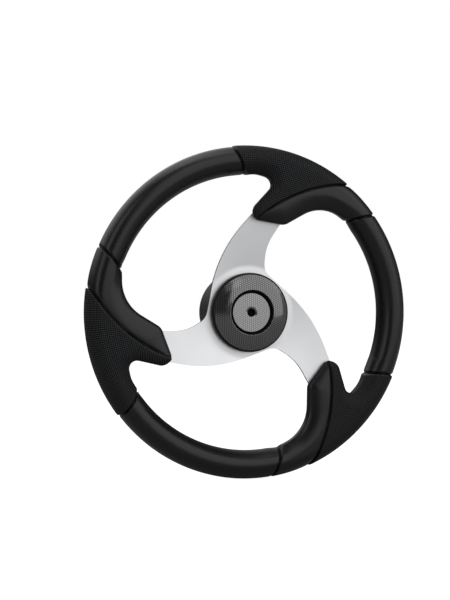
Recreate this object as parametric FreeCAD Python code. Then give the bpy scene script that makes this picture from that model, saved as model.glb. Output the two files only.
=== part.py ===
"""Three-spoke boat steering wheel with a moulded grip, a dished spoke plate and a push-in cap.

Millimetres. The wheel stands upright as it is fitted: the shaft axis is Y, the front faces
-Y, X is to the right as the helmsman looks at it, and Z is up. Depths are worked out from
the middle of the rim's thickness. Each finished piece is then moved so that the origin is
where the wheel sits on its shaft: on the axis, at the large end of the taper socket.

The wheel repeats three times round its axis. Outlines are drawn once, for the arm that
points upwards, and copied at 120 degrees. A place on the grip or on an arm's end is given as
a distance along the rim's centre circle, counted from the middle of the arm's end towards
the wheel's left, and a distance inwards from that circle. So the grip keeps its hand's
size, and stays on the arm's end, when the wheel's diameter is changed.
"""
import FreeCAD, Part
import os
from math import cos, degrees, hypot, pi, radians, sin, tan

V = FreeCAD.Vector
ORIGIN = V(0, 0, 0)
SHAFT_AXIS = V(0, 1, 0)

# The wheel as a whole
WHEEL_DIAMETER = 320.0
ARM_COUNT = 3

# Rim grip: a soft moulding, oval in section, deeper than it is wide
RIM_WIDTH = 27.4
RIM_DEPTH = 32.6
TEXTURE_RISE = 0.8
GROOVE_WIDTH = 2.4
GROOVE_DEPTH = 1.6

# Lobes: the grip runs down each arm as a thumb rest on one side and a finger hook on the other
LOBE_TIP_FRONT = 13.0
LOBE_TIP_BACK = 4.0
LOBE_MIDDLE_FRONT = 15.2
LOBE_MIDDLE_BACK = 7.4
LOBE_EDGE_RADIUS = 5.5
LOBE_REACH = 62.0
LOBE_MIDDLE_REACH = 31.0
LOBE_BEND_RADIUS = 60.0
HOOK_RADIUS = 8.3
HOOK_WAIST_RADIUS = 9.0
TIP_HOOK_RADIUS = 6.6
TIP_THUMB_RADIUS = 9.0
THUMB_RADIUS = 38.0

# Seams in the grip: each is an arc through three places, from outside the rim inwards
PLAIN_SEAM = [(71.24, -17.0), (68.05, -0.9), (58.47, 17.0)]
LONG_SEAM = [(-49.28, -17.0), (-5.62, 19.2), (58.73, 61.7)]
THUMB_SEAM = [(-83.5, -18.0), (-74.56, 0.5), (-64.86, 19.0)]
PLAIN_SEAM_SIDE = 1
LONG_SEAM_SIDE = -1
SECTOR_END = 79.2

# Core ring: a flat steel hoop inside the rim that the arms are riveted to
CORE_RING_WIDTH = 16.0
CORE_RING_THICKNESS = 4.0

# Spoke plate: one dished pressing with three swept arms
PLATE_THICKNESS = 3.0
PLATE_SETBACK = 5.0
ARM_END_RISE = 3.5
DISH_INNER_RADIUS = 45.0
DISH_OUTER_RADIUS = 98.0
DISH_BEND_RADIUS = 18.0
PLATE_HOLE_RADIUS = 20.0
ARM_CUSP_ANGLE = 68.2
ARM_CUSP_REACH = 43.1
ARM_CUSP_RADIUS = 15.0
ARM_BEND_REACH = 66.05
ARM_INNER_BEND_ANGLE = 75.7
ARM_INNER_BEND_RADIUS = 45.0
ARM_OUTER_BEND_ANGLE = 117.3
ARM_OUTER_BEND_RADIUS = 130.0
ARM_END_ANGLE = 69.0
ARM_END_WIDTH = 18.9
ARM_END_INSET = 2.0
ARM_END_CORNER = 4.0

# Rivets through the arm ends and the core ring
RIVET_SHANK_RADIUS = 2.5
RIVET_HEAD_RADIUS = 4.0
RIVET_HEAD_HEIGHT = 2.0
RIVET_SPACING = 9.6

# Hub boss: an aluminium turning with a taper socket for a three-quarter inch shaft
TAPER_LARGE_RADIUS = 9.525
TAPER_PER_LENGTH = 1.0 / 12.0
TAPER_LENGTH = 26.0
KEYWAY_WIDTH = 4.8
KEYWAY_DEPTH = 2.4
BARREL_RADIUS = 24.0
FLANGE_RADIUS = 36.0
FLANGE_THICKNESS = 5.0
NUT_RECESS_DEPTH = 6.0

# Plate screws, each on a washer
PLATE_SCREW_COUNT = 6
PLATE_SCREW_CIRCLE = 28.6
PLATE_SCREW_RADIUS = 2.5
PLATE_SCREW_HEAD_RADIUS = 4.2
PLATE_SCREW_HEAD_HEIGHT = 2.4
PLATE_SCREW_SOCKET = 1.7
PLATE_SCREW_REACH = 4.0
WASHER_RADIUS = 5.2
WASHER_THICKNESS = 1.0
SCREW_HOLE_CLEARANCE = 0.25
THREAD_FIT = 0.05

# Rear skirt: a plastic bell that hides the boss and the shaft
SKIRT_RADIUS = 40.0
SKIRT_WALL = 2.5
SKIRT_REACH = 42.0
SKIRT_LIP_RADIUS = 1.2
LEDGE_THICKNESS = 2.5
SKIRT_FIT = 0.3
SKIRT_SCREW_COUNT = 3
SKIRT_SCREW_RADIUS = 1.75
SKIRT_SCREW_HEAD_RADIUS = 3.2
SKIRT_SCREW_HEAD_HEIGHT = 2.2
SKIRT_SCREW_REACH = 3.6
SKIRT_SCREW_CIRCLE = 30.5

# Cap: a moulded cover pushed into the plate's hole, with a round insert in its middle
CAP_RADIUS = 38.35
CAP_WALL = 2.4
CAP_SIDE_HEIGHT = 6.4
CAP_EDGE_RADIUS = 3.0
CAP_CROWN_RISE = 13.2
CAP_DOME_RADIUS = 30.0
CAP_DOME_BULGE = 1.4
CAP_SEAT_GAP = 0.3
CAP_FLOOR = 3.5
CAP_RECESS_DEPTH = 5.3
INSERT_RADIUS = 18.9
INSERT_THICKNESS = 2.6
INSERT_GROOVE = 2.5
INSERT_DROP = 3.4
INSERT_HOLE_RADIUS = 4.0
CAP_HOLE_DEPTH = 2.7
INSERT_DIMPLE_RADIUS = 5.8
INSERT_DIMPLE_DEPTH = 0.5
INSERT_EDGE_RADIUS = 0.4
SPIGOT_CLEARANCE = 0.7
SPIGOT_WALL = 2.6
SPIGOT_REACH = 4.0

# Seal: a rubber ring in the cap's spigot that holds the cap in by friction
SEAL_SECTION_RADIUS = 1.0
SEAL_CLEARANCE = 0.3
SEAL_END_DISTANCE = 2.4
SEAL_SIDE_CLEARANCE = 0.1

# Places worked out from the sizes above
RIM_CENTRE = WHEEL_DIAMETER / 2 - RIM_WIDTH / 2
PLATE_FRONT = PLATE_SETBACK
PLATE_BACK = PLATE_FRONT + PLATE_THICKNESS
ARM_END_FRONT = -ARM_END_RISE
ARM_END_BACK = ARM_END_FRONT + PLATE_THICKNESS
CORE_RING_BACK = ARM_END_BACK + CORE_RING_THICKNESS
FLANGE_BACK = PLATE_BACK + FLANGE_THICKNESS
NUT_SEAT = PLATE_BACK + NUT_RECESS_DEPTH
BARREL_BACK = NUT_SEAT + TAPER_LENGTH
SKIRT_INNER_RADIUS = FLANGE_RADIUS + SKIRT_FIT
SKIRT_FRONT_RADIUS = SKIRT_INNER_RADIUS + SKIRT_WALL
LEDGE_BACK = FLANGE_BACK + LEDGE_THICKNESS
CAP_BACK = PLATE_FRONT - CAP_SEAT_GAP
CAP_SHOULDER = CAP_BACK - CAP_SIDE_HEIGHT
CAP_RECESS_FLOOR = CAP_BACK - CAP_RECESS_DEPTH
CAP_CROWN = PLATE_FRONT - CAP_CROWN_RISE
INSERT_FRONT = CAP_CROWN + INSERT_DROP
INSERT_BACK = INSERT_FRONT + INSERT_THICKNESS
WELL_RADIUS = INSERT_RADIUS + INSERT_GROOVE
SPIGOT_RADIUS = PLATE_HOLE_RADIUS - SPIGOT_CLEARANCE
SPIGOT_END = PLATE_BACK + SPIGOT_REACH
CAP_FLOOR_BACK = INSERT_BACK + CAP_FLOOR
SEAL_CENTRE = SPIGOT_END - SEAL_END_DISTANCE
SEAL_RING_RADIUS = PLATE_HOLE_RADIUS - SEAL_CLEARANCE - SEAL_SECTION_RADIUS
REACH_ALL = WHEEL_DIAMETER


def polar(angle, radius):
    """A point in the wheel's middle plane, by its angle from +X towards +Z and its radius."""
    return V(radius * cos(radians(angle)), 0, radius * sin(radians(angle)))


def on_wheel(along, inwards):
    """A point by its distance along the rim from the arm's end, and in from the rim's centre."""
    return polar(ARM_END_ANGLE + degrees(along / RIM_CENTRE), RIM_CENTRE - inwards)


def turned(shape, index, count=ARM_COUNT):
    """A copy of a shape turned to its place in a ring of equal parts."""
    copy = shape.copy()
    copy.rotate(ORIGIN, SHAFT_AXIS, -360.0 * index / count)
    return copy


def ring_of(shape, count=ARM_COUNT):
    """A list of equal copies round the shaft axis."""
    return [turned(shape, index, count) for index in range(count)]


def rounded_wire(corners):
    """A closed outline of straight lines, with each corner rounded to its own radius."""
    starts = []
    ends = []
    edges = []
    for index, (corner, radius) in enumerate(corners):
        before = corners[index - 1][0]
        after = corners[(index + 1) % len(corners)][0]
        inward = (before - corner).normalize()
        outward = (after - corner).normalize()
        if radius == 0:
            starts.append(corner)
            ends.append(corner)
            continue
        half = inward.getAngle(outward) / 2
        setback = radius / tan(half)
        first = corner + inward * setback
        last = corner + outward * setback
        centre = corner + (inward + outward).normalize() * (radius / sin(half))
        middle = centre + (corner - centre).normalize() * radius
        edges.append(Part.Arc(first, middle, last).toShape())
        starts.append(first)
        ends.append(last)
    for index in range(len(corners)):
        after = (index + 1) % len(corners)
        if (starts[after] - ends[index]).Length > 1e-4:
            edges.append(Part.LineSegment(ends[index], starts[after]).toShape())
    return Part.Wire(Part.__sortEdges__(edges))


def slab(wire, front, back):
    """The outline as a straight slab between two depths along the shaft axis."""
    face = Part.Face(wire)
    face.translate(V(0, front, 0))
    return face.extrude(V(0, back - front, 0))


def turned_profile(points, sweep=360.0):
    """A solid of revolution about the shaft axis, from corners given as radius and depth."""
    corners = [(V(point[0], point[1], 0), point[2] if len(point) > 2 else 0) for point in points]
    face = Part.Face(rounded_wire(corners))
    return face.revolve(ORIGIN, SHAFT_AXIS, sweep)


def disc(radius, front, back):
    """A plain cylinder on the shaft axis."""
    return Part.makeCylinder(radius, back - front, V(0, front, 0), SHAFT_AXIS)


def rod(centre, radius, front, back):
    """A cylinder parallel to the shaft axis at a place on the wheel."""
    return Part.makeCylinder(radius, back - front, V(centre.x, front, centre.z), SHAFT_AXIS)


def dished_sheet():
    """The pressed sheet before its outline is cut: flat hub, sloping arms, flat arm ends."""
    outer = RIM_CENTRE + CORE_RING_WIDTH
    front_bend = DISH_BEND_RADIUS
    back_bend = DISH_BEND_RADIUS + PLATE_THICKNESS
    return turned_profile([
        (0, PLATE_FRONT),
        (DISH_INNER_RADIUS, PLATE_FRONT, front_bend),
        (DISH_OUTER_RADIUS, ARM_END_FRONT, back_bend),
        (outer, ARM_END_FRONT),
        (outer, ARM_END_BACK),
        (DISH_OUTER_RADIUS, ARM_END_BACK, front_bend),
        (DISH_INNER_RADIUS, PLATE_BACK, back_bend),
        (0, PLATE_BACK),
    ])


def arm_corners():
    """The outline of the upward arm, from the cusp on its right to the long edge on its left."""
    end = CORE_RING_WIDTH / 2 - ARM_END_INSET
    return [
        (polar(ARM_CUSP_ANGLE, ARM_CUSP_REACH), ARM_CUSP_RADIUS),
        (polar(ARM_INNER_BEND_ANGLE, ARM_BEND_REACH), ARM_INNER_BEND_RADIUS),
        (on_wheel(-ARM_END_WIDTH / 2, -end), ARM_END_CORNER),
        (on_wheel(ARM_END_WIDTH / 2, -end), ARM_END_CORNER),
        (polar(ARM_OUTER_BEND_ANGLE, ARM_BEND_REACH), ARM_OUTER_BEND_RADIUS),
    ]


def plate_screw_place():
    return V(0, 0, PLATE_SCREW_CIRCLE)


def rivet_places():
    """Two rivets across the end of the upward arm, on the rim's centre circle."""
    return [on_wheel(-RIVET_SPACING / 2, 0), on_wheel(RIVET_SPACING / 2, 0)]


def spoke_plate():
    outline = []
    for index in range(ARM_COUNT):
        for corner, radius in arm_corners():
            place = FreeCAD.Rotation(SHAFT_AXIS, -360.0 * index / ARM_COUNT).multVec(corner)
            outline.append((place, radius))
    plate = dished_sheet().common(slab(rounded_wire(outline), -REACH_ALL, REACH_ALL))
    plate = plate.cut(disc(PLATE_HOLE_RADIUS, -REACH_ALL, REACH_ALL))
    for place in rivet_places():
        hole = rod(place, RIVET_SHANK_RADIUS, ARM_END_FRONT - 1, ARM_END_BACK + 1)
        plate = plate.cut(Part.makeCompound(ring_of(hole)))
    hole_radius = PLATE_SCREW_RADIUS + SCREW_HOLE_CLEARANCE
    hole = rod(plate_screw_place(), hole_radius, PLATE_FRONT - 1, PLATE_BACK + 1)
    return plate.cut(Part.makeCompound(ring_of(hole, PLATE_SCREW_COUNT)))


def core_ring():
    ring = turned_profile([
        (RIM_CENTRE - CORE_RING_WIDTH / 2, ARM_END_BACK),
        (RIM_CENTRE + CORE_RING_WIDTH / 2, ARM_END_BACK),
        (RIM_CENTRE + CORE_RING_WIDTH / 2, CORE_RING_BACK),
        (RIM_CENTRE - CORE_RING_WIDTH / 2, CORE_RING_BACK),
    ])
    for place in rivet_places():
        hole = rod(place, RIVET_SHANK_RADIUS, ARM_END_BACK - 1, CORE_RING_BACK + 1)
        ring = ring.cut(Part.makeCompound(ring_of(hole)))
    return ring


def arm_rivets():
    """Domed rivets: a factory head at the front and a set head behind the core ring."""
    rivets = []
    for place in rivet_places():
        shank = rod(place, RIVET_SHANK_RADIUS, ARM_END_FRONT, CORE_RING_BACK)
        front = rivet_head()
        front.translate(V(place.x, ARM_END_FRONT, place.z))
        back = rivet_head()
        back.rotate(ORIGIN, V(1, 0, 0), 180)
        back.translate(V(place.x, CORE_RING_BACK, place.z))
        rivets.extend(ring_of(shank.fuse([front, back]).removeSplitter()))
    return Part.makeCompound(rivets)


def rivet_head():
    """A shallow dome with its flat face at the origin and its crown towards the front."""
    ball = (RIVET_HEAD_RADIUS ** 2 + RIVET_HEAD_HEIGHT ** 2) / (2 * RIVET_HEAD_HEIGHT)
    dome = Part.makeSphere(ball, V(0, ball - RIVET_HEAD_HEIGHT, 0))
    return dome.common(disc(RIVET_HEAD_RADIUS + 1, -RIVET_HEAD_HEIGHT, 0))


def lobe_corners():
    """The outline of the grip round the end of the upward arm, closed inside the rim."""
    return [
        (on_wheel(67.67, 6), 0),
        (on_wheel(22.2, 13.0), HOOK_RADIUS),
        (on_wheel(58.8, 46.9), HOOK_WAIST_RADIUS),
        (on_wheel(53.6, 56.2), TIP_HOOK_RADIUS),
        (on_wheel(-1.0, 58.6), TIP_THUMB_RADIUS),
        (on_wheel(-33.32, 18.4), THUMB_RADIUS),
        (on_wheel(-87.58, 8.0), 0),
        (on_wheel(-73.28, 0), 0),
        (on_wheel(-2.55, 0), 0),
        (on_wheel(67.67, 0), 0),
    ]


def grown(corners, grow):
    """An outline moved outwards by a distance. The corners run clockwise as seen from the front."""
    moved = []
    for index, (corner, radius) in enumerate(corners):
        inward = (corner - corners[index - 1][0]).normalize()
        outward = (corners[(index + 1) % len(corners)][0] - corner).normalize()
        turn = inward.cross(outward).dot(SHAFT_AXIS)
        normal = SHAFT_AXIS.cross(inward) + SHAFT_AXIS.cross(outward)
        shift = normal * (grow / (1 + inward.dot(outward)))
        side = -1 if turn > 0 else 1
        moved.append((corner + shift, max(radius + side * grow, 0) if radius else 0))
    return moved


def lobe(grow):
    """One lobe, grown or shrunk all round, tapering towards its tip."""
    prism = Part.Face(rounded_wire(grown(lobe_corners(), grow))).extrude(V(0, 2 * RIM_DEPTH, 0))
    prism.translate(V(0, -RIM_DEPTH, 0))
    tip = RIM_CENTRE - LOBE_REACH
    middle = RIM_CENTRE - LOBE_MIDDLE_REACH
    envelope = turned_profile([
        (tip - 20, -LOBE_TIP_FRONT - grow + 1.5),
        (tip, -LOBE_TIP_FRONT - grow),
        (middle, -LOBE_MIDDLE_FRONT - grow, LOBE_BEND_RADIUS),
        (RIM_CENTRE, -RIM_DEPTH / 2 - grow),
        (RIM_CENTRE, RIM_DEPTH / 2 + grow),
        (middle, LOBE_MIDDLE_BACK + grow, LOBE_BEND_RADIUS),
        (tip, LOBE_TIP_BACK + grow),
        (tip - 20, LOBE_TIP_BACK + grow - 1.5),
    ])
    body = prism.common(envelope)
    inside = RIM_CENTRE - RIM_WIDTH / 4
    edges = []
    for edge in body.Edges:
        middle = edge.valueAt((edge.FirstParameter + edge.LastParameter) / 2)
        upright = abs(edge.BoundBox.XLength) + abs(edge.BoundBox.ZLength) < 0.01
        if hypot(middle.x, middle.z) < inside and not upright:
            edges.append(edge)
    return body.makeFillet(LOBE_EDGE_RADIUS + grow, edges)


def rim_oval(grow):
    """A third of the rim, with its ends in plain parts of the grip between two lobes."""
    centre = V(RIM_CENTRE, 0, 0)
    tall = centre + V(0, RIM_DEPTH / 2 + grow, 0)
    wide = centre + V(RIM_WIDTH / 2 + grow, 0, 0)
    section = Part.Face(Part.Wire(Part.Ellipse(tall, wide, centre).toShape()))
    oval = section.revolve(ORIGIN, SHAFT_AXIS, 360.0 / ARM_COUNT)
    oval.rotate(ORIGIN, SHAFT_AXIS, -ARM_END_ANGLE - degrees(SECTOR_END / RIM_CENTRE))
    return oval


def grip_third(grow):
    """The rim and its lobe as one smooth body, before the seams are cut."""
    return rim_oval(grow).fuse(lobe(grow))


def seam(points, shift):
    """A seam as an arc through three places, moved sideways by a distance."""
    first, middle, last = [on_wheel(angle, inwards) for angle, inwards in points]
    arc = Part.Arc(first, middle, last).toShape().Curve
    centre = arc.Center
    moved = [centre + (point - centre).normalize() * (arc.Radius + shift) for point in (first, middle, last)]
    return Part.Arc(*moved).toShape()


def line(first, last):
    return Part.LineSegment(first, last).toShape()


def textured_zone(margin):
    """The area of the textured grip, from the plain seam round the hook to the long seam."""
    plain = seam(PLAIN_SEAM, PLAIN_SEAM_SIDE * margin)
    long = seam(LONG_SEAM, LONG_SEAM_SIDE * margin)
    plain_out = plain.valueAt(plain.FirstParameter)
    plain_in = plain.valueAt(plain.LastParameter)
    long_out = long.valueAt(long.FirstParameter)
    long_in = long.valueAt(long.LastParameter)
    beyond = on_wheel(0, -0.4 * RIM_CENTRE)
    hollow = on_wheel(81.71, 52)
    edges = [plain, line(plain_out, beyond), line(beyond, long_out), long]
    edges += [line(long_in, hollow), line(hollow, plain_in)]
    return slab(Part.Wire(Part.__sortEdges__(edges)), -RIM_DEPTH, RIM_DEPTH)


def groove_blade(points):
    """A curved wall as wide as a seam's groove."""
    near = seam(points, -GROOVE_WIDTH / 2)
    far = seam(points, GROOVE_WIDTH / 2)
    start = line(near.valueAt(near.FirstParameter), far.valueAt(far.FirstParameter))
    end = line(near.valueAt(near.LastParameter), far.valueAt(far.LastParameter))
    return slab(Part.Wire(Part.__sortEdges__([near, far, start, end])), -RIM_DEPTH, RIM_DEPTH)


def rim_grip(metal):
    """The moulding: three smooth zones parted by grooves, round the metal it is moulded on."""
    textured = grip_third(TEXTURE_RISE).common(textured_zone(-GROOVE_WIDTH / 2))
    smooth = grip_third(0).cut(textured_zone(GROOVE_WIDTH / 2)).cut(groove_blade(THUMB_SEAM))
    third = grip_third(-GROOVE_DEPTH).fuse([textured, smooth])
    whole = third.fuse(ring_of(third)[1:]).removeSplitter()
    return whole.cut(metal).removeSplitter()


def hub_boss():
    """The boss: flange, barrel, nut recess, taper socket and keyway."""
    small = TAPER_LARGE_RADIUS - TAPER_LENGTH * TAPER_PER_LENGTH / 2
    boss = turned_profile([
        (small, NUT_SEAT),
        (PLATE_HOLE_RADIUS, NUT_SEAT, 1.0),
        (PLATE_HOLE_RADIUS, PLATE_BACK),
        (FLANGE_RADIUS, PLATE_BACK),
        (FLANGE_RADIUS, FLANGE_BACK, 0.8),
        (BARREL_RADIUS, FLANGE_BACK),
        (BARREL_RADIUS, BARREL_BACK, 1.5),
        (TAPER_LARGE_RADIUS, BARREL_BACK),
    ])
    keyway_top = TAPER_LARGE_RADIUS + KEYWAY_DEPTH
    corner = V(-KEYWAY_WIDTH / 2, NUT_SEAT - 1, 0)
    boss = boss.cut(Part.makeBox(KEYWAY_WIDTH, TAPER_LENGTH + 2, keyway_top, corner))
    hole = rod(plate_screw_place(), PLATE_SCREW_RADIUS + THREAD_FIT, PLATE_BACK, PLATE_BACK + PLATE_SCREW_REACH)
    boss = boss.cut(Part.makeCompound(ring_of(hole, PLATE_SCREW_COUNT)))
    end = FLANGE_BACK - SKIRT_SCREW_REACH
    hole = rod(skirt_screw_place(), SKIRT_SCREW_RADIUS + THREAD_FIT, end, FLANGE_BACK)
    return boss.cut(Part.makeCompound(ring_of(hole, SKIRT_SCREW_COUNT)))


def plate_screws():
    """Low socket-head screws that clamp the plate to the boss."""
    place = plate_screw_place()
    head_back = PLATE_FRONT - WASHER_THICKNESS
    head_front = head_back - PLATE_SCREW_HEAD_HEIGHT
    head = rod(place, PLATE_SCREW_HEAD_RADIUS, head_front, head_back)
    rims = [edge for edge in head.Edges if abs(edge.BoundBox.YMin - head_front) < 0.01]
    head = head.makeFillet(0.7, [edge for edge in rims if edge.BoundBox.YLength < 0.01])
    shank = rod(place, PLATE_SCREW_RADIUS, head_back, PLATE_BACK + PLATE_SCREW_REACH)
    socket = hexagon_prism(place, PLATE_SCREW_SOCKET, head_front - 1, head_front + PLATE_SCREW_HEAD_HEIGHT * 0.7)
    return Part.makeCompound(ring_of(head.fuse(shank).removeSplitter().cut(socket), PLATE_SCREW_COUNT))


def hexagon_prism(place, half_flats, front, back):
    points = [place + V(0, front, 0) + polar(60 * corner, half_flats / cos(pi / 6)) for corner in range(7)]
    return Part.Face(Part.makePolygon(points)).extrude(V(0, back - front, 0))


def plate_washers():
    place = plate_screw_place()
    front = PLATE_FRONT - WASHER_THICKNESS
    washer = rod(place, WASHER_RADIUS, front, PLATE_FRONT)
    washer = washer.cut(rod(place, PLATE_SCREW_RADIUS + SCREW_HOLE_CLEARANCE, front - 1, PLATE_FRONT + 1))
    return Part.makeCompound(ring_of(washer, PLATE_SCREW_COUNT))


def skirt_screw_place():
    """Halfway between two plate screws."""
    return polar(90 + 180.0 / PLATE_SCREW_COUNT, SKIRT_SCREW_CIRCLE)


def rear_skirt():
    """The bell: a drafted wall, and a ledge that is screwed up against the boss's flange."""
    skirt = turned_profile([
        (SKIRT_INNER_RADIUS, PLATE_BACK),
        (SKIRT_FRONT_RADIUS, PLATE_BACK, 0.6),
        (SKIRT_RADIUS, SKIRT_REACH, SKIRT_LIP_RADIUS),
        (SKIRT_RADIUS - SKIRT_WALL, SKIRT_REACH, SKIRT_LIP_RADIUS),
        (SKIRT_INNER_RADIUS, LEDGE_BACK, 1.5),
        (BARREL_RADIUS + SKIRT_FIT, LEDGE_BACK),
        (BARREL_RADIUS + SKIRT_FIT, FLANGE_BACK),
        (SKIRT_INNER_RADIUS, FLANGE_BACK),
    ])
    hole = rod(skirt_screw_place(), SKIRT_SCREW_RADIUS + SCREW_HOLE_CLEARANCE, FLANGE_BACK - 1, LEDGE_BACK + 1)
    return skirt.cut(Part.makeCompound(ring_of(hole, SKIRT_SCREW_COUNT)))


def skirt_screws():
    """Cross-head screws from behind, through the skirt's ledge into the flange."""
    place = skirt_screw_place()
    shank = rod(place, SKIRT_SCREW_RADIUS, FLANGE_BACK - SKIRT_SCREW_REACH, LEDGE_BACK)
    head_back = LEDGE_BACK + SKIRT_SCREW_HEAD_HEIGHT
    head = rod(place, SKIRT_SCREW_HEAD_RADIUS, LEDGE_BACK, head_back)
    rims = [edge for edge in head.Edges if edge.BoundBox.YLength < 0.01 and edge.BoundBox.YMin > head_back - 0.01]
    screw = shank.fuse(head.makeFillet(1.0, rims)).removeSplitter()
    arm = SKIRT_SCREW_HEAD_RADIUS * 0.55
    slot = SKIRT_SCREW_HEAD_RADIUS * 0.24
    depth = SKIRT_SCREW_HEAD_HEIGHT * 0.6
    upright = Part.makeBox(slot, depth, 2 * arm, place + V(-slot / 2, head_back - depth, -arm))
    across = Part.makeBox(2 * arm, depth, slot, place + V(-arm, head_back - depth, -slot / 2))
    return Part.makeCompound(ring_of(screw.cut(upright).cut(across), SKIRT_SCREW_COUNT))


def hub_cap():
    """The cap: a domed annulus round a well, hollow behind, with a raised seat for the spigot."""
    middle = (CAP_RADIUS + WELL_RADIUS) / 2
    dome = (CAP_SHOULDER + CAP_CROWN) / 2 - CAP_DOME_BULGE
    return turned_profile([
        (0, INSERT_BACK + CAP_HOLE_DEPTH),
        (INSERT_HOLE_RADIUS, INSERT_BACK + CAP_HOLE_DEPTH),
        (INSERT_HOLE_RADIUS, INSERT_BACK),
        (WELL_RADIUS, INSERT_BACK),
        (WELL_RADIUS, CAP_CROWN, 0.5),
        (middle, dome, CAP_DOME_RADIUS),
        (CAP_RADIUS, CAP_SHOULDER, CAP_EDGE_RADIUS),
        (CAP_RADIUS, CAP_BACK, 0.3),
        (CAP_RADIUS - CAP_WALL, CAP_BACK),
        (CAP_RADIUS - CAP_WALL, CAP_RECESS_FLOOR),
        (SPIGOT_RADIUS, CAP_RECESS_FLOOR),
        (SPIGOT_RADIUS, CAP_FLOOR_BACK),
        (0, CAP_FLOOR_BACK),
    ])


def cap_spigot():
    """The ring that stands on the cap's seat and fits the hole in the plate, with the seal's groove."""
    groove_floor = SEAL_RING_RADIUS - SEAL_SECTION_RADIUS
    groove_half = SEAL_SECTION_RADIUS + SEAL_SIDE_CLEARANCE
    spigot_bore = SPIGOT_RADIUS - SPIGOT_WALL
    return turned_profile([
        (spigot_bore, CAP_FLOOR_BACK),
        (SPIGOT_RADIUS, CAP_FLOOR_BACK),
        (SPIGOT_RADIUS, SEAL_CENTRE - groove_half),
        (groove_floor, SEAL_CENTRE - groove_half),
        (groove_floor, SEAL_CENTRE + groove_half),
        (SPIGOT_RADIUS, SEAL_CENTRE + groove_half),
        (SPIGOT_RADIUS, SPIGOT_END, 0.5),
        (spigot_bore, SPIGOT_END),
    ])


def cap_insert():
    """The round insert on the floor of the cap's well, with a small hole through its middle."""
    return turned_profile([
        (INSERT_HOLE_RADIUS, INSERT_BACK),
        (INSERT_RADIUS, INSERT_BACK),
        (INSERT_RADIUS, INSERT_FRONT, INSERT_EDGE_RADIUS),
        (INSERT_DIMPLE_RADIUS, INSERT_FRONT),
        (INSERT_HOLE_RADIUS, INSERT_FRONT + INSERT_DIMPLE_DEPTH),
    ])


def cap_seal():
    section = Part.makeCircle(SEAL_SECTION_RADIUS, V(SEAL_RING_RADIUS, SEAL_CENTRE, 0), V(0, 0, 1))
    return Part.Face(Part.Wire(section)).revolve(ORIGIN, SHAFT_AXIS, 360)


def make_parts():
    """Every sub-part by its name."""
    plate = spoke_plate()
    ring = core_ring()
    rivets = arm_rivets()
    metal = plate.fuse([ring] + rivets.Solids)
    return {
        "rim_grip": rim_grip(metal),
        "rim_core_ring": ring,
        "arm_rivets": rivets,
        "spoke_plate": plate,
        "hub_boss": hub_boss(),
        "plate_screws": plate_screws(),
        "plate_washers": plate_washers(),
        "rear_skirt": rear_skirt(),
        "skirt_screws": skirt_screws(),
        "hub_cap": hub_cap(),
        "cap_spigot": cap_spigot(),
        "cap_insert": cap_insert(),
        "cap_seal": cap_seal(),
    }


os.makedirs("parts", exist_ok=True)
for name, shape in make_parts().items():
    shape.translate(V(0, -BARREL_BACK, 0))
    shape.exportStep("parts/%s.step" % name)
    print(name, "solids", len(shape.Solids), "mm3", round(shape.Volume), "valid", shape.isValid())
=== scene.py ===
# %% [markdown]
# A three-spoke boat steering wheel, as a lesson in cells.
#
# The real wheel is a dished aluminium plate with three swept arms, a soft black grip moulded
# round the ends of the arms, a glossy cap with a woven look, and a plastic skirt behind. The
# metal pieces come from the packed model and only need a finish. The grip is made here, because
# its soft rolled edges and seams are a matter of looks.

# %% Load the fixed frame
import math

import bmesh
import bpy
import numpy as np
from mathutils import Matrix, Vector

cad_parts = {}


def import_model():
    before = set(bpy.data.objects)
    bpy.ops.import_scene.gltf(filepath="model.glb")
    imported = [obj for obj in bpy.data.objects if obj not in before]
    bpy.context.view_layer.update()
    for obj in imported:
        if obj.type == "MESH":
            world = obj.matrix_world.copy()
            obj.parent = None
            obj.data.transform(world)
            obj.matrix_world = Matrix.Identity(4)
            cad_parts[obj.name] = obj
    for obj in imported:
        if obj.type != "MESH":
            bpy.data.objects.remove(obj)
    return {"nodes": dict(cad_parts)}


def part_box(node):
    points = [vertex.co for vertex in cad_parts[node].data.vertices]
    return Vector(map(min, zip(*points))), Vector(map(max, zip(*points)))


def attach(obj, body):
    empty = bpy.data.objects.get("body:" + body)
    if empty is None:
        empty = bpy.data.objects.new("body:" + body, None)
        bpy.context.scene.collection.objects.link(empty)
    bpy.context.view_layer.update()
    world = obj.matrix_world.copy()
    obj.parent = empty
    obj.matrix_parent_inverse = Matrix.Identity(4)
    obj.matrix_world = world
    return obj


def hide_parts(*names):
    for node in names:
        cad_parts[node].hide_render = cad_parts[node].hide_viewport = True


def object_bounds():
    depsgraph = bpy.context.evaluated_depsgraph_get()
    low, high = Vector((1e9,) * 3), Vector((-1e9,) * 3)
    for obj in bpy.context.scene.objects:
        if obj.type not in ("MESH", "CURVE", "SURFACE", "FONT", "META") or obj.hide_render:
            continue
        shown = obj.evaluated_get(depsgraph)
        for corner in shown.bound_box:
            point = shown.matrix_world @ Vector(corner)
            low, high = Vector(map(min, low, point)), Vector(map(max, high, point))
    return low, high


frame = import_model()
cad_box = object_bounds()
nodes = frame["nodes"]
print("nodes", sorted(nodes))

# %% [markdown]
# The grip is threefold: the same lobe comes round every 120 degrees. All of its measures are in
# millimetres in the wheel's plane, with x to the right and z up. A place on it is given as an
# angle round the axis and a distance inwards from the rim's centre circle, as a drawing would.
# The centre circle is that of the steel hoop inside the rim, so its size is read from the frame.

# %% Sizes of the grip
MM = 0.001
HOOP_WIDTH = 16.0
low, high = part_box("rim_core_ring")
RIM_RADIUS = (high.x - low.x) / 2 / MM - HOOP_WIDTH / 2
low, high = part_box("rim_grip")
RIM_PLANE = (low.y + high.y) / 2
HALF_WIDTH = 13.7
HALF_DEPTH = 16.3
SECTOR = 120.0
SECTOR_START = -20.0


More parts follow.
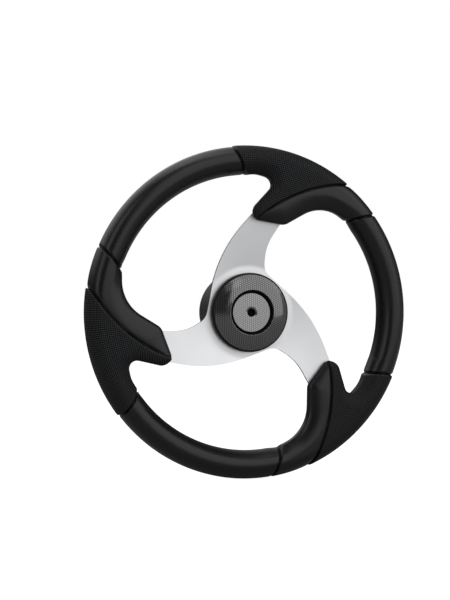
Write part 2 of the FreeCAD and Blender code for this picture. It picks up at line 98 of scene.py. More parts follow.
def place(angle, inwards=0.0):
    """A point of the wheel's plane from its angle and its distance in from the centre circle."""
    turn = math.radians(angle)
    return (RIM_RADIUS - inwards) * np.array([math.cos(turn), math.sin(turn)])


print("centre circle of the rim", round(RIM_RADIUS, 2), "mm")

# %% [markdown]
# The grip's outline and its seams are lines and arcs. They could be paths cut into hundreds of
# short pieces. Here each part is kept as a small tuple, because the distance to a line or an arc
# has a formula, which is exact and quick.

# %% Lines and arcs
TINY = 1e-9


def unit(vector):
    return vector / np.hypot(*vector)


def sweep_between(start, end):
    """The signed turn from one angle to another, the short way."""
    return (end - start + math.pi) % (2 * math.pi) - math.pi


def angle_of(vector):
    return math.atan2(vector[1], vector[0])


def arc_through(first, middle, last):
    """The arc through three points."""
    rows = 2 * np.array([middle - first, last - first])
    sides = np.array([middle @ middle - first @ first, last @ last - first @ first])
    centre = np.linalg.solve(rows, sides)
    start = angle_of(first - centre)
    sweep = sweep_between(start, angle_of(last - centre))
    return ("arc", centre, np.hypot(*(first - centre)), start, sweep)


def rounded(corners):
    """An open path through corners, each rounded by an arc of its own radius."""
    parts = []
    last = corners[0][0]
    for (before, _), (corner, radius), (after, _) in zip(corners, corners[1:], corners[2:]):
        back, ahead = unit(before - corner), unit(after - corner)
        half = math.acos(back @ ahead) / 2
        centre = corner + unit(back + ahead) * radius / math.sin(half)
        start = corner + back * radius / math.tan(half)
        end = corner + ahead * radius / math.tan(half)
        begin = angle_of(start - centre)
        parts.append(("line", last, start))
        parts.append(("arc", centre, radius, begin, sweep_between(begin, angle_of(end - centre))))
        last = end
    parts.append(("line", last, corners[-1][0]))
    return parts


sample = arc_through(place(0), place(40), place(80))
print("radius found from three places on the rim", round(float(sample[2]), 2), "mm")

# %% [markdown]
# Each formula also tells on which side of the line or arc a point lies. The nearest part of a
# path gives the side for the whole path, so the distance can carry a sign: positive on the left
# of the way it runs, negative on the right.

# %% Signed distance to a path


def nearest_on_line(points, start, end):
    """Distance to a line, and the side of it that each point is on."""
    along = end - start
    offset = points - start
    share = np.clip(offset @ along / (along @ along), 0, 1)
    gap = offset - share[:, None] * along
    side = along[0] * offset[:, 1] - along[1] * offset[:, 0]
    return np.hypot(gap[:, 0], gap[:, 1]), side


def nearest_on_arc(points, centre, radius, start, sweep):
    """Distance to an arc, and the side of it that each point is on."""
    way = math.copysign(1, sweep)
    offset = points - centre
    turn = (np.arctan2(offset[:, 1], offset[:, 0]) - start) * way % (2 * math.pi)
    span = abs(sweep)
    past = turn - span
    turn = np.where(turn <= span, turn, np.where(past < 2 * math.pi - turn, span, 0))
    heading = start + way * turn
    gap = offset - radius * np.stack([np.cos(heading), np.sin(heading)], 1)
    side = way * (radius - np.hypot(offset[:, 0], offset[:, 1]))
    return np.hypot(gap[:, 0], gap[:, 1]), side


def signed_distance(points, path):
    """Distance to a path, positive on its left."""
    best = np.full(len(points), np.inf)
    result = np.zeros(len(points))
    for kind, *values in path:
        measure = nearest_on_line if kind == "line" else nearest_on_arc
        gap, side = measure(points, *values)
        closer = gap < best - TINY
        best = np.where(closer, gap, best)
        result = np.where(closer, np.where(side < 0, -gap, gap), result)
    return result


hub = np.zeros((1, 2))
print("distance of the hub from that arc", round(float(signed_distance(hub, [sample])[0]), 2), "mm")

# %% [markdown]
# The inner edge of the grip in one sector runs along the rim, round the thumb rest, over the tip,
# up the finger hook and back to the rim. Three seams part the moulding: a plain seam across the
# rim, a long one that runs down the lobe to its tip, and a short one beyond the thumb rest. They
# could be drawn as free curves. Corners with radii are fewer points, and read as a drawing does.

# %% The outline and the seams of one lobe
CENTRE = np.zeros(2)
INNER = HALF_WIDTH
OUTLINE_START = -40.0
LOBE_START = 37.5
LOBE_END = 98.0
OUTLINE_END = 121.5
EDGE_CORNERS = [
    (place(LOBE_START, INNER), 0),
    (place(41.0, INNER - 1.0), 9.0),
    (place(55.95, 18.4), 38.0),
    (place(68.8, 55.6), 11.0),
    (place(88.0, 57.0), 5.6),
    (place(89.7, 46.6), 9.0),
    (place(78.2, 16.0), 8.0),
    (place(88.0, INNER - 1.8), 30.0),
    (place(LOBE_END, INNER), 0),
]


def rim_edge(start, end):
    """The inner edge of the plain rim between two angles."""
    return ("arc", CENTRE, RIM_RADIUS - INNER, math.radians(start), math.radians(end - start))


EDGE = [rim_edge(OUTLINE_START, LOBE_START)] + rounded(EDGE_CORNERS)
EDGE.append(rim_edge(LOBE_END, OUTLINE_END))
PLAIN_SEAM = [
    arc_through(place(96.9, -17.0), place(95.65, -0.9), place(91.9, 17.0)),
    ("line", place(91.9, 17.0), place(104, 50)),
    ("line", place(104, 50), place(120, 100)),
]
LONG_SEAM = [arc_through(place(49.7, -17.0), place(66.8, 19.2), place(92.0, 61.7))]
THUMB_SEAM = [arc_through(place(36.3, -18.0), place(39.8, 0.5), place(43.6, 19.0))]
print("outline parts", len(EDGE))

# %% [markdown]
# The seams divide the grip into a textured zone, a smooth thumb rest and the plain rim. Each zone
# could be a mesh of its own, but the real grip is one moulding. So a zone is only a number from 0
# to 1 at each point, which changes softly where the point crosses a seam. All three sectors use
# the same numbers, because each point is first turned into the first sector.

# %% Zones of the grip
ZONE_STEP = 0.9
GROOVE_HALF = 1.1
GROOVE_SQUARENESS = 2.4


def ease(start, end, value):
    """A soft step from 0 to 1."""
    share = np.clip((value - start) / (end - start), 0, 1)
    return share * share * (3 - 2 * share)


def folded(points):
    """Each point turned into the first sector."""
    angle = np.degrees(np.arctan2(points[:, 1], points[:, 0]))
    sector = np.floor((angle - SECTOR_START) / SECTOR)
    turn = -np.radians(SECTOR * sector)
    cosine, sine = np.cos(turn), np.sin(turn)
    x = points[:, 0] * cosine - points[:, 1] * sine
    z = points[:, 0] * sine + points[:, 1] * cosine
    return np.stack([x, z], 1)


def groove(distance):
    """The depth of a seam's groove, from 1 in its middle to 0 outside it."""
    return np.exp(-(np.abs(distance) / GROOVE_HALF) ** GROOVE_SQUARENESS)


def zones(points):
    """Distances to the three seams, and how much each point belongs to each zone."""
    plain = signed_distance(points, PLAIN_SEAM)
    long = -signed_distance(points, LONG_SEAM)
    thumb = -signed_distance(points, THUMB_SEAM)
    textured = ease(-ZONE_STEP, ZONE_STEP, np.minimum(plain, long))
    rest = (1 - textured) * ease(-ZONE_STEP, ZONE_STEP, np.minimum(-long, thumb))
    return plain, long, thumb, textured, rest


texture_share = zones(np.array([place(80)]))[3][0]
print("share of texture in the middle of the lobe", round(float(texture_share), 2))

# %% [markdown]
# The grip is as thick as two edges allow. Each edge rolls off as an ellipse: with d the distance
# in from an edge and a the width of its roll, the height is the top's height times
# sqrt((d / a) (2 - d / a)). On the rim the two rolls together give its oval section. On a lobe
# the top also sinks towards the tip, and the widest line moves forwards. A groove or a raised
# zone moves all of these measures by the same offset, so it follows the surface round the sides
# as a real mould does.

# %% The grip's thickness
TEXTURE_RISE = 1.0
THUMB_RISE = 0.35
GROOVE_DEPTH = 1.5
LIP_DROP = 0.8
LIP_WIDTH = 3.0
SEAM_FADE = (86.0, 104.0)
LOBE_TOP = 140.0
LOBE_LENGTH = 56.0
FRONT_SINK = 3.3
FRONT_BEND = 1.3
BACK_SINK = 12.3
BACK_BEND = 2.2
HOOK_ROLL_LOSS = 4.5
REST_ROLL_SWELL = 25.0
REST_ROLL_LOSS = 3.0
SIDE_BLEND = 3.0
HOOK_WIDEST = 9.5
REST_WIDEST = 6.5
WIDEST_RISES = (38.0, 46.0)
WIDEST_FALLS = (88.0, 96.0)
WIDEST_REACH = (128.0, 141.0)


def roll(distance, width):
    """The squared height of an elliptic edge, which goes below zero outside it."""
    share = distance / width
    return np.where(share < 1, share * (2 - share), 1.0)


def surface_offset(points, radius):
    """How far the zones and grooves move the surface, and the distance to the long seam."""
    plain, long, thumb, textured, rest = zones(points)
    fade = ease(*SEAM_FADE, radius)
    depth = np.maximum(np.maximum(groove(plain), groove(thumb)), groove(long) * fade)
    lip = np.exp(-np.maximum(-long, 0) / LIP_WIDTH) * rest * fade
    offset = TEXTURE_RISE * textured + THUMB_RISE * rest - GROOVE_DEPTH * depth - LIP_DROP * lip
    return offset, long


def grip_shape(points):
    """The rolls' product, the widest line's depth, and the heights in front of it and behind."""
    points = folded(points)
    radius = np.hypot(points[:, 0], points[:, 1])
    offset, long = surface_offset(points, radius)
    lobe = np.clip((LOBE_TOP - radius) / LOBE_LENGTH, 0, 1)
    inwards = offset - signed_distance(points, EDGE)
    outwards = offset + RIM_RADIUS + HALF_WIDTH - radius
    hook_roll = HALF_WIDTH - HOOK_ROLL_LOSS * lobe
    rest_roll = HALF_WIDTH + REST_ROLL_SWELL * lobe * (1 - lobe) - REST_ROLL_LOSS * lobe ** 2
    side = ease(-SIDE_BLEND, SIDE_BLEND, long)
    inner_roll = side * hook_roll + (1 - side) * rest_roll
    rolls = roll(inwards, inner_roll) * roll(outwards, HALF_WIDTH)
    # Outside both edges, the product of two negative rolls would count as inside.
    rolls = np.where((inwards < 0) & (outwards < 0), -1, rolls)
    angle = np.degrees(np.arctan2(points[:, 1], points[:, 0]))
    on_lobe = ease(*WIDEST_RISES, angle) * (1 - ease(*WIDEST_FALLS, angle))
    on_lobe = on_lobe * (1 - ease(*WIDEST_REACH, radius))
    widest = -(HOOK_WIDEST * side + REST_WIDEST * (1 - side)) * on_lobe
    front = HALF_DEPTH - FRONT_SINK * lobe ** FRONT_BEND + offset + widest
    back = HALF_DEPTH - BACK_SINK * (1 - (1 - lobe) ** BACK_BEND) + offset - widest
    return rolls, widest, front, back


def height_above(depth, widest, front, back):
    """Depths as a share of the thickness on their own side of the widest line."""
    return (depth - widest) / np.where(depth < widest, front, back)


front_depth, back_depth = grip_shape(np.array([place(0)]))[2:]
print("depth of the plain rim", round(float(front_depth[0] + back_depth[0]), 1), "mm")

# %% [markdown]
# A moulding like this could be sculpted, or built from a few quads with a subdivision modifier.
# Neither would follow the formulas. A surface is found where a function of space changes sign,
# and a surface net puts one vertex in each grid cell that the surface crosses, then joins the
# cells round each crossed grid edge with a quad. Its mesh is even and all quads, which suits a
# smooth moulding.

# %% Surface net
RING_OF_CELLS = ((0, 0), (1, 0), (1, 1), (0, 1))


def surface_net(values, origin, step):
    """Vertices and quads where a grid of values changes sign."""
    cells = np.array(values.shape) - 1
    total = np.zeros((cells.prod(), 3))
    count = np.zeros(cells.prod())
    quads = []
    for axis in range(3):
        first, second = [other for other in range(3) if other != axis]
        size = values.shape[axis]
        lower = np.take(values, range(size - 1), axis)
        upper = np.take(values, range(1, size), axis)
        index = np.argwhere((lower < 0) != (upper < 0))
        start = lower[tuple(index.T)]
        end = upper[tuple(index.T)]
        crossing = index.astype(float)
        crossing[:, axis] += start / (start - end)
        ring = []
        for back_first, back_second in RING_OF_CELLS:
            cell = index.copy()
            cell[:, first] -= back_first
            cell[:, second] -= back_second
            flat = np.ravel_multi_index(tuple(cell.T), cells)
            ring.append(flat)
            count += np.bincount(flat, minlength=len(count))
            for column in range(3):
                total[:, column] += np.bincount(flat, crossing[:, column], len(total))
        ring = np.stack(ring, 1)
        # The ring of cells turns the other way round the middle axis.
        turned = (start < 0) == (axis == 1)
        ring[turned] = ring[turned][:, ::-1]
        quads.append(ring)
    quads = np.vstack(quads)
    used = np.unique(quads)
    renumber = np.full(len(total), -1)
    renumber[used] = np.arange(len(used))
    return origin + step * total[used] / count[used, None], renumber[quads]


squares = np.arange(-3.0, 4.0) ** 2
ball = squares[:, None, None] + squares[None, :, None] + squares[None, None, :] - 6.5
print("a net round a small ball has", len(surface_net(ball, -3.0, 1.0)[1]), "quads")

# %% [markdown]
# The net's vertices lie near the surface but not on it, which would show as ripples in a glossy
# reflection. Newton's method moves each one along the slope of the function until the function
# is zero there. The steps are held back a little, so that none overshoots in a groove.

# %% Vertices onto the surface
LONGEST_MOVE = 3.0
MOVE_SHARE = 0.9


def settle(vertices, rounds=4, probe=0.05):
    """Vertices moved onto the grip's surface."""
    for _ in range(rounds):
        flat, depth = vertices[:, [0, 2]], vertices[:, 1]
        rolls, *heights = grip_shape(flat)
        level = height_above(depth, *heights) ** 2 - rolls
        slopes = []
        for nudge in ([probe, 0], [0, probe]):
            near_rolls, *near_heights = grip_shape(flat + nudge)
            slopes.append((height_above(depth, *near_heights) ** 2 - near_rolls - level) / probe)
        upward = (height_above(depth + probe, *heights) ** 2 - rolls - level) / probe
        slope = np.stack([slopes[0], upward, slopes[1]], 1)
        steepness = (slope ** 2).sum(1) + TINY
        limit = LONGEST_MOVE / np.sqrt(steepness)
        move = np.clip(level / steepness, -limit, limit)
        vertices = vertices - MOVE_SHARE * move[:, None] * slope
    return vertices


stray = np.array([[RIM_RADIUS + HALF_WIDTH - 1, 0.0, 0.0]])
print("a vertex 1 mm inside the rim moves by", (settle(stray) - stray)[0].round(2), "mm")

# %% [markdown]
# The grid's cells are 1.4 mm, which is fine for the smooth parts. The seams are narrower. A finer
# grid everywhere would make millions of cells, so only the faces near the seams are divided once
# and settled again.

# %% The grip's mesh
CELL = 1.4
SEAM_REACH = 4.0
MARGIN = 3.0
HALF_SPAN = RIM_RADIUS + HALF_WIDTH + MARGIN
HALF_LAYER = HALF_DEPTH + TEXTURE_RISE + CELL


def seam_distance(points):
    """Distance to the nearest seam."""
    plain, long, thumb, _, _ = zones(folded(points))
    return np.minimum(np.minimum(np.abs(plain), np.abs(long)), np.abs(thumb))


def refined(vertices, quads):
    """The mesh with its faces near the seams divided once."""
    shape = bmesh.new()
    corners = [shape.verts.new(vertex) for vertex in vertices]
    for quad in quads:
        shape.faces.new([corners[index] for index in quad])
    near = seam_distance(vertices[:, [0, 2]]) < SEAM_REACH
    shape.verts.index_update()
    edges = [edge for edge in shape.edges if all(near[end.index] for end in edge.verts)]
    bmesh.ops.subdivide_edges(shape, edges=edges, cuts=1, use_grid_fill=True)
    mesh = bpy.data.meshes.new("rim_grip_skin")
    shape.to_mesh(mesh)
    shape.free()
    return mesh


def grip_mesh():
    """The whole grip as a mesh in metres, and its vertices in millimetres."""
    across = np.arange(-HALF_SPAN, HALF_SPAN + CELL, CELL)
    deep = np.arange(-HALF_LAYER, HALF_LAYER + CELL, CELL)
    x, z = np.meshgrid(across, across, indexing="ij")
    shape = grip_shape(np.stack([x.ravel(), z.ravel()], 1))
    rolls, *heights = [part.reshape(x.shape)[:, None, :] for part in shape]
    values = height_above(deep[None, :, None], *heights) ** 2 - rolls
    vertices, quads = surface_net(values, np.array([-HALF_SPAN, -HALF_LAYER, -HALF_SPAN]), CELL)
    mesh = refined(settle(vertices), quads)
    points = np.zeros(len(mesh.vertices) * 3)
    mesh.vertices.foreach_get("co", points)
    points = settle(points.reshape(-1, 3))
    mesh.vertices.foreach_set("co", (points * MM + [0, RIM_PLANE, 0]).ravel())
    mesh.polygons.foreach_set("use_smooth", np.ones(len(mesh.polygons), bool))
    mesh.update()
    return mesh, points


def add_object(name, mesh, body, slot, *replaced):
    """A new piece that rides a body and stands for CAD nodes."""
    piece = bpy.data.objects.new(name, mesh)
    bpy.context.scene.collection.objects.link(piece)
    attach(piece, body)
    if replaced:
        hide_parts(*replaced)
    return piece


grip_data, grip_points = grip_mesh()
grip = add_object("grip_moulding", grip_data, "wheel", "soft_grip", "rim_grip")
print("grip vertices", len(grip_points), "faces", len(grip_data.polygons))

# %% [markdown]
# The finish of the grip changes from zone to zone. It could be painted on an image, which needs
# an unwrapped mesh. Here each vertex keeps how much it belongs to the perforated zone and how deep
# it lies in a seam, and also where it lies along the rim and across it, so that the rows of dots
# follow the rim as they do on the mould.

# %% What each vertex knows
CROSS_SHARE = 0.75
PERFORATED_EDGE = (1.2, 2.4)


def write_attribute(mesh, name, kind, values):
    layer = mesh.attributes.new(name, kind, "POINT")
    field = "vector" if kind == "FLOAT_VECTOR" else "value"
    layer.data.foreach_set(field, np.ascontiguousarray(values, np.float32).ravel())


def write_grip_attributes(mesh, points):
    """The place in the rows of dots, the share of perforated zone and the depth in a seam."""
    flat = folded(points[:, [0, 2]])
    plain, long, thumb, _, _ = zones(flat)
    radius = np.hypot(flat[:, 0], flat[:, 1])
    angle = np.arctan2(flat[:, 1], flat[:, 0])
    _, widest, front, back = grip_shape(points[:, [0, 2]])
    top = np.where(points[:, 1] < widest, front - widest, back + widest)
    drop = CROSS_SHARE * np.clip(top - np.abs(points[:, 1]), 0, None)
    across = RIM_RADIUS - radius
    across = across + np.where(across > 0, drop, -drop)
    rows = np.stack([angle * RIM_RADIUS, across, np.sign(points[:, 1])], 1)
    perforated = ease(*PERFORATED_EDGE, np.minimum(plain, long))
    depth = np.maximum(np.maximum(groove(plain), groove(thumb)), groove(long))
    write_attribute(mesh, "rows", "FLOAT_VECTOR", rows)
    write_attribute(mesh, "perforated", "FLOAT", perforated)
    write_attribute(mesh, "seam", "FLOAT", depth)
    print("share of vertices in the perforated zone", round(float(perforated.mean()), 2))


write_grip_attributes(grip_data, grip_points)

# %% [markdown]
# Finishes are sums written as they would be on paper. Nodes could be placed and joined one by one,
# which hides the sum in the wiring. The small class below wraps a socket, so that 1 - mask or
# a * b adds the Math nodes.

# %% Shader maths


class Value:
    """A socket of a node tree that can be added, subtracted, multiplied and divided."""

    def __init__(self, finish, socket):
        self.finish = finish
        self.socket = socket

    def math(self, operation, *others, flip=False):
        terms = [self, *others]
        if flip:
            terms.reverse()
        return self.finish.add("ShaderNodeMath", {"operation": operation}, dict(enumerate(terms)))

    def __add__(self, other):
        return self.math("ADD", other)

    def __sub__(self, other):
        return self.math("SUBTRACT", other)

    def __rsub__(self, other):
        return self.math("SUBTRACT", other, flip=True)

    def __mul__(self, other):
        return self.math("MULTIPLY", other)

    def __truediv__(self, other):
        return self.math("DIVIDE", other)

    def __rtruediv__(self, other):
        return self.math("DIVIDE", other, flip=True)

    __radd__ = __add__
    __rmul__ = __mul__

    def fraction(self):
        return self.math("FRACT")

    def floor(self):
        return self.math("FLOOR")

    def root(self):
        return self.math("SQRT")

    def size(self):
        return self.math("ABSOLUTE")

    def step(self, start, end):
        """A soft step from 0 at start to 1 at end."""
        inputs = {"Value": self, "From Min": start, "From Max": end}
        return self.finish.add("ShaderNodeMapRange", {"interpolation_type": "SMOOTHSTEP"}, inputs)


print("named sums", [name for name in vars(Value) if not name.startswith("_")])

# %% [markdown]
# Any other node comes from one method, which takes the node's type, its settings and what goes
# into its sockets. A few short methods on top of it name the nodes that the finishes share, so
# that a finish below reads as a recipe.

# %% Materials made node by node


class Finish:
    """A material or a world whose nodes are added one by one."""

    def __init__(self, owner, shader="Principled BSDF"):
        owner.use_nodes = True
        self.owner = owner
        self.tree = owner.node_tree
        self.shader = self.tree.nodes[shader]

    def add(self, kind, settings=None, inputs=None, output=0):
        """A node of any type, with its settings and the values or links of its sockets."""
        node = self.tree.nodes.new(kind)
        for key, value in (settings or {}).items():
            setattr(node, key, value)
        for key, value in (inputs or {}).items():
            self.feed(node.inputs[key], value)
        return Value(self, node.outputs[output])

    def feed(self, socket, value):
        if isinstance(value, Value):
            self.tree.links.new(value.socket, socket)
        else:
            socket.default_value = value

    def set(self, **values):
        """Sockets of the shader, with spaces in their names written as underscores."""
        for key, value in values.items():
            self.feed(self.shader.inputs[key.replace("_", " ")], value)

    def attribute(self, name, output="Fac"):
        return self.add("ShaderNodeAttribute", {"attribute_name": name}, output=output)

    def parts(self, vector):
        """The three numbers of a vector."""
        node = self.add("ShaderNodeSeparateXYZ", {}, {0: vector}).socket.node
        return [Value(self, output) for output in node.outputs]

    def millimetres(self):
        """The place on the piece, in millimetres."""
        spot = self.add("ShaderNodeTexCoord", output="Object")
        return self.add("ShaderNodeVectorMath", {"operation": "SCALE"}, {0: spot, "Scale": 1 / MM})

    def noise(self, spot, scale, detail=2.0):
        inputs = {"Vector": spot, "Scale": scale, "Detail": detail}
        return self.add("ShaderNodeTexNoise", {}, inputs)

    def mix(self, share, first, second):
        """A colour between two others. Sockets 6 and 7 and output 2 are the node's colours."""
        inputs = {0: share, 6: first, 7: second}
        return self.add("ShaderNodeMix", {"data_type": "RGBA"}, inputs, output=2)

    def bump(self, height, distance, strength=1.0, normal=None):
        """A normal that follows a height given in parts of a distance in metres."""
        inputs = {"Height": height, "Distance": distance, "Strength": strength}
        if normal is not None:
            inputs["Normal"] = normal
        return self.add("ShaderNodeBump", {}, inputs)


def new_finish(name):
    return Finish(bpy.data.materials.new(name))


def grey(level, blue=0.0):
    """A colour near grey, a little bluer or warmer."""
    return (level - blue, level, level + blue, 1.0)


def dress(piece, finish):
    """The piece with this finish in all of its material slots."""
    if not piece.data.materials:
        piece.data.materials.append(finish.owner)
    for slot in range(len(piece.data.materials)):
        piece.data.materials[slot] = finish.owner
    print(piece.name, "wears", finish.owner.name, "of", len(finish.tree.nodes), "nodes")


print("named nodes", [name for name in vars(Finish) if not name.startswith("_")])

# %% [markdown]
# The grip is a black skinned foam. Its plain and smooth zones have a fine leather grain pressed
# by the mould, small rounded cells with creases between them, and a thin gloss over it. Its
# perforated zone has rows of dimples, a little under 2 mm apart, and no gloss. All of this could
# be carved into the mesh, but it is too fine for a mesh of this size, so it is bumps. The colour
# adds painted shade in the dimples and in the seams' grooves, and a painted highlight on the
# ridges between the dimples.

# %% Grip finish
DOT_PITCH = 1.9
DIMPLE_WALL = (0.26, 0.46)
RIDGE_EDGE = (0.36, 0.52)
DIMPLE_DEPTH = 0.35 * MM
GRAIN_CELLS = 0.85
GRAIN_DEPTH = 0.35 * MM
SKIN = grey(0.0016, 0.0003)
# The next two colours are a painted shade for the dimples and seams and a painted highlight for the
# ridges.
SKIN_PAINTED_SHADE = grey(0.0006)
SKIN_PAINTED_HIGHLIGHT = grey(0.028, 0.0012)
SKIN_GLINT = (0.95, 0.94, 1.0, 1.0)


def grip_finish():
    finish = new_finish("black_skinned_foam")
    spot = finish.millimetres()
    along, across, _ = finish.parts(finish.attribute("rows", "Vector"))
    perforated = finish.attribute("perforated")
    seam = finish.attribute("seam")
    cell_along = (along / DOT_PITCH).fraction() - 0.5
    cell_across = (across / DOT_PITCH).fraction() - 0.5
    reach = (cell_along * cell_along + cell_across * cell_across).root()
    dimples = (1 - reach.step(*DIMPLE_WALL)) * perforated
    ridges = reach.step(*RIDGE_EDGE) * perforated
    cells = finish.add(
        "ShaderNodeTexVoronoi",
        {"feature": "SMOOTH_F1"},
        {"Vector": spot, "Scale": GRAIN_CELLS, "Smoothness": 0.4},
    )
    wander = finish.noise(spot, 0.35, 3.0)
    grain = (1 - cells) * (1 - perforated)
    # Painted shade darkens the dimples, and a painted highlight lightens the ridges between them.
    shade = finish.mix(ridges, finish.mix(dimples, SKIN, SKIN_PAINTED_SHADE), SKIN_PAINTED_HIGHLIGHT)
    # Painted shade darkens the seams' grooves.
    finish.set(Base_Color=finish.mix(seam * 0.8, shade, SKIN_PAINTED_SHADE))
    finish.set(Roughness=0.28 + 0.12 * wander + 0.06 * perforated + 0.15 * dimples)
    grained = finish.bump(grain, GRAIN_DEPTH, 0.38)
    finish.set(Normal=finish.bump(1 - dimples, DIMPLE_DEPTH, 0.9, grained))
    finish.set(Specular_IOR_Level=0.14, Specular_Tint=SKIN_GLINT)
    finish.set(Coat_Weight=0.6 * (1 - perforated) * (1 - seam), Coat_Roughness=0.3)
    return finish


dress(grip, grip_finish())

# %% [markdown]
# The spoke plate is blasted and clear anodised, which gives a satin metal with no lines. Its cut
# side faces get a painted shade: a dark colour that stands in for their shade. A picture of
# blasted metal could be wrapped round it, but noise has no edge to hide, and the side faces are
# known by their normals, which lean away from the front. The boss is turned, so it has fine rings
# round its axis: noise over the distance from the axis gives them. Screws, rivets and the core
# ring are plain steel or aluminium.

# %% Metal finishes
PLATE_METAL = (0.86, 0.865, 0.88, 1.0)
# The next colour is a painted shade for the plate's cut side faces.
PLATE_SIDES_PAINTED_SHADE = grey(0.06)
SIDE_FACES = (0.25, 0.6)
BOSS_METAL = (0.66, 0.66, 0.67, 1.0)
HOOP_STEEL = (0.45, 0.45, 0.46, 1.0)
RIVET_METAL = (0.7, 0.7, 0.71, 1.0)
SCREW_STEEL = (0.62, 0.62, 0.63, 1.0)
CLOUDING = 0.08
SPECKLE = 0.04


def satin_metal(name, colour, roughness, sides=None):
    """Blasted metal. With a painted shade colour given, faces cut square to its front take that
    colour.
    """
    finish = new_finish(name)
    spot = finish.millimetres()
    # Faces cut square to the front are given a painted shade in place of the metal's colour.
    if sides is not None:
        facing = finish.parts(finish.add("ShaderNodeTexCoord", output="Normal"))[1].size()
        colour = finish.mix(facing.step(*SIDE_FACES), sides, colour)
    cloud = finish.noise(spot, 0.05, 3.0)
    dust = finish.noise(spot, 2.2, 2.0)
    finish.set(Base_Color=colour, Metallic=1.0)
    finish.set(Roughness=roughness - CLOUDING / 2 + CLOUDING * cloud + SPECKLE * dust)
    finish.set(Normal=finish.bump(dust, 0.03 * MM, 0.5))
    return finish


def turned_metal(name, colour, roughness):
    """Metal with the fine rings of a lathe round its axis."""
    finish = new_finish(name)
    x, y, z = finish.parts(finish.millimetres())
    radius = (x * x + z * z).root()
    rings = finish.add("ShaderNodeCombineXYZ", {}, {0: radius, 1: y, 2: 0.0})
    cut = finish.noise(rings, 3.0, 1.0)
    finish.set(Base_Color=colour, Metallic=1.0, Roughness=roughness + CLOUDING * cut)
    finish.set(Normal=finish.bump(cut, 0.05 * MM, 0.6))
    return finish


dress(nodes["spoke_plate"], satin_metal("satin_anodised_plate", PLATE_METAL, 0.43, PLATE_SIDES_PAINTED_SHADE))
dress(nodes["hub_boss"], turned_metal("turned_boss", BOSS_METAL, 0.30))
dress(nodes["rim_core_ring"], satin_metal("hoop_steel", HOOP_STEEL, 0.45))
dress(nodes["arm_rivets"], satin_metal("rivet_metal", RIVET_METAL, 0.4))
for name in ("plate_screws", "plate_washers", "skirt_screws"):
    dress(nodes[name], turned_metal("bright_" + name, SCREW_STEEL, 0.28))

# %% [markdown]
# The cap and its insert have a printed film that looks like woven carbon, under a clear gloss. It
# could be an image, but a plain weave seen from afar is only upright columns of short bright
# dashes, each column half a step out from the next, and two fractions give that at any size. The
# print has a metal sheen. The film stops short of the cap's edge and its well, where the plain
# black plastic shows without the gloss, and the floor of the well is dull.

# %% Cap finishes
COLUMN_PITCH = 2.1
DASH_PITCH = 1.8
CAP_FILM = (21.5, 36.4)
INSERT_FILM = (4.2, 18.5)
FILM_EDGE = 0.15
WELL_END = (24.0, 26.0)
CAP_PLASTIC = grey(0.006)


def woven_film(name, film, dark, light):
    """Black plastic with a film between two radii, in the two colours of its weave."""
    finish = new_finish(name)
    x, _, z = finish.parts(finish.millimetres())
    radius = (x * x + z * z).root()
    column = x / COLUMN_PITCH
    odd = (column.floor() / 2).fraction()
    across = (column.fraction() - 0.5).size()
    along = ((z / DASH_PITCH + odd).fraction() - 0.5).size()
    dash = (1 - across.step(0.20, 0.44)) * (1 - along.step(0.16, 0.40))
    begun, ended = [radius.step(edge - FILM_EDGE, edge + FILM_EDGE) for edge in film]
    inside = begun * (1 - ended)
    in_well = (1 - radius.step(*WELL_END)) * (1 - inside)
    finish.set(Base_Color=finish.mix(inside, CAP_PLASTIC, finish.mix(dash, dark, light)))
    finish.set(Metallic=0.9 * inside, Roughness=0.34 - 0.18 * inside + 0.6 * in_well)
    finish.set(Coat_Weight=inside, Coat_Roughness=0.03, Specular_IOR_Level=0.15)
    finish.set(Normal=finish.bump(dash * inside, 0.03 * MM, 0.4))
    return finish


dress(nodes["hub_cap"], woven_film("woven_cap", CAP_FILM, grey(0.055), grey(0.23)))
dress(nodes["cap_insert"], woven_film("woven_insert", INSERT_FILM, grey(0.14), grey(0.30)))

# %% [markdown]
# The skirt is a dark brown-black plastic with a fine spark-eroded texture from its mould, the
# spigot behind the cap is black plastic, and the seal is plain rubber. One material could serve
# all three, but their blacks and their sheens differ, so one function makes each its own.

# %% Skirt, spigot and seal finishes
SKIRT_BROWN = (0.014, 0.009, 0.008, 1.0)


def moulded(name, colour, roughness):
    """Moulded plastic or rubber with a fine even texture."""
    finish = new_finish(name)
    spot = finish.millimetres()
    fine = finish.noise(spot, 1.6, 3.0)
    cloud = finish.noise(spot, 0.04, 2.0)
    finish.set(Base_Color=colour, Roughness=roughness + CLOUDING * cloud)
    finish.set(Normal=finish.bump(fine, 0.08 * MM, 0.6))
    return finish


dress(nodes["rear_skirt"], moulded("skirt_plastic", SKIRT_BROWN, 0.5))
dress(nodes["cap_spigot"], moulded("spigot_plastic", grey(0.02), 0.45))
dress(nodes["cap_seal"], moulded("seal_rubber", grey(0.015), 0.6))

# %% [markdown]
# The photograph is a plain studio shot on white. More light would whiten a floor, but would wash
# out the wheel too. So the floor is a mid grey for the light that it throws back, and a camera
# ray sees it glow white, which meets the white world with no line.

# %% Floor
FLOOR_DROP = 0.0006
FLOOR_SIZE = 14
FLOOR_GREY = grey(0.33)
FLOOR_GLOW = grey(0.95)
wheel_low = cad_box[0][2]


def floor():
    bpy.ops.mesh.primitive_plane_add(size=FLOOR_SIZE, location=(0, 0, wheel_low - FLOOR_DROP))
    plane = bpy.context.object
    plane.name = "studio_floor"
    finish = new_finish("studio_floor")
    seen = finish.add("ShaderNodeLightPath", output="Is Camera Ray")
    finish.set(Base_Color=FLOOR_GREY, Roughness=0.9, Specular_IOR_Level=0.0)
    finish.set(Emission_Color=finish.mix(seen, grey(0.0), FLOOR_GLOW), Emission_Strength=1.0)
    dress(plane, finish)


floor()
print("floor at", round(wheel_low - FLOOR_DROP, 4), "m")

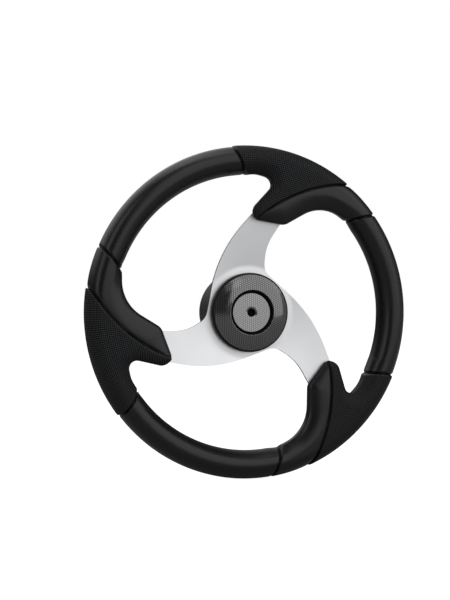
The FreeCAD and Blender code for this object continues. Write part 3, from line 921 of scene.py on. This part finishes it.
# %% [markdown]
# The world is white to the camera. Satin metal and gloss show what stands round them, and a white
# room would make them flat. So a mirror sees a dark room that is white only high up behind the
# wheel and to its left, and matt surfaces get an even half light from all round.

# %% World
AMBIENT = 0.5
DARK_ROOM = 0.05
WHITE_BEHIND = (-0.05, 0.3)
WHITE_ABOVE = (0.1, 0.5)
WHITE_ENDS_RIGHT = (-0.1, 0.6)


def world():
    sky = bpy.data.worlds.new("studio")
    bpy.context.scene.world = sky
    finish = Finish(sky, "Background")
    camera_ray = finish.add("ShaderNodeLightPath", output="Is Camera Ray")
    glossy_ray = finish.add("ShaderNodeLightPath", output="Is Glossy Ray")
    right, back, up = finish.parts(finish.add("ShaderNodeTexCoord"))
    behind = back.step(*WHITE_BEHIND) * up.step(*WHITE_ABOVE) * (1 - right.step(*WHITE_ENDS_RIGHT))
    mirrored = DARK_ROOM + (1 - DARK_ROOM) * behind
    level = camera_ray + (1 - camera_ray) * (glossy_ray * mirrored + (1 - glossy_ray) * AMBIENT)
    finish.set(Color=(1, 1, 1, 1), Strength=level)
    print("world of", len(finish.tree.nodes), "nodes")


world()

# %% [markdown]
# The lamps are large soft boxes, since small ones would leave hard spots on the gloss. The front
# box lights the whole wheel, and the end of its reflection parts the light half of the cap from
# its dark left. The high one brightens the cap from above. The boxes at the sides and on top
# draw the soft lines of light along the grip.

# %% Lamps
LAMPS = {
    # Name: degrees to the right and up, metres away, width and height, and brightness.
    "front_box": (32, 20, 2.0, 3.1, 3.4, 1.16),
    "high_box": (-14, 44, 1.8, 0.8, 0.8, 0.4),
    "right_box": (84, 22, 1.6, 0.9, 1.5, 0.25),
    "top_box": (-40, 84, 1.4, 1.0, 0.6, 1.6),
    "left_box": (-62, 24, 1.3, 0.5, 1.2, 1.3),
}
middle = Vector((0, RIM_PLANE, 0))


def lamp(name, azimuth, height, distance, width, tall, level):
    """A soft box of a given brightness, facing the wheel."""
    turn, rise = math.radians(azimuth), math.radians(height)
    flat = math.cos(rise)
    way = Vector((math.sin(turn) * flat, -math.cos(turn) * flat, math.sin(rise)))
    data = bpy.data.lights.new(name, "AREA")
    data.shape = "RECTANGLE"
    data.size, data.size_y = width, tall
    data.energy = level * math.pi * width * tall
    box = bpy.data.objects.new(name, data)
    bpy.context.scene.collection.objects.link(box)
    box.location = middle + way * distance
    box.rotation_euler = (-way).to_track_quat("-Z", "Y").to_euler()
    print(name, round(data.energy, 1), "W")


for name, values in LAMPS.items():
    lamp(name, *values)
bpy.context.scene.view_settings.view_transform = "Standard"

# %% [markdown]
# The camera stands about a metre in front, a little to the left, and level with the hub. Its
# place was worked out from the ellipse of the rim in the photograph: the picture is 450 by 600
# pixels, and the lens is 1100 pixels long.

# %% Camera
PICTURE_HEIGHT = 600
LENS_PIXELS = 1100
CAMERA_TURN = math.radians(16.17)
CAMERA_BACK = 1.0615
CAMERA_ASIDE = 0.0242
CAMERA_RAISED = 0.0120
SENSOR = 36.0


def camera():
    data = bpy.data.cameras.new("camera")
    data.sensor_width = SENSOR
    data.lens = SENSOR * LENS_PIXELS / PICTURE_HEIGHT
    eye = bpy.data.objects.new("camera", data)
    bpy.context.scene.collection.objects.link(eye)
    ahead = Vector((math.sin(CAMERA_TURN), math.cos(CAMERA_TURN), 0))
    right = Vector((ahead.y, -ahead.x, 0))
    raised = Vector((0, 0, CAMERA_RAISED))
    eye.location = middle - CAMERA_BACK * ahead - CAMERA_ASIDE * right + raised
    eye.rotation_euler = ahead.to_track_quat("-Z", "Y").to_euler()
    bpy.context.scene.camera = eye
    print("camera at", [round(value, 3) for value in eye.location])


camera()

# %% [markdown]
# The grip must not outgrow the packed model.
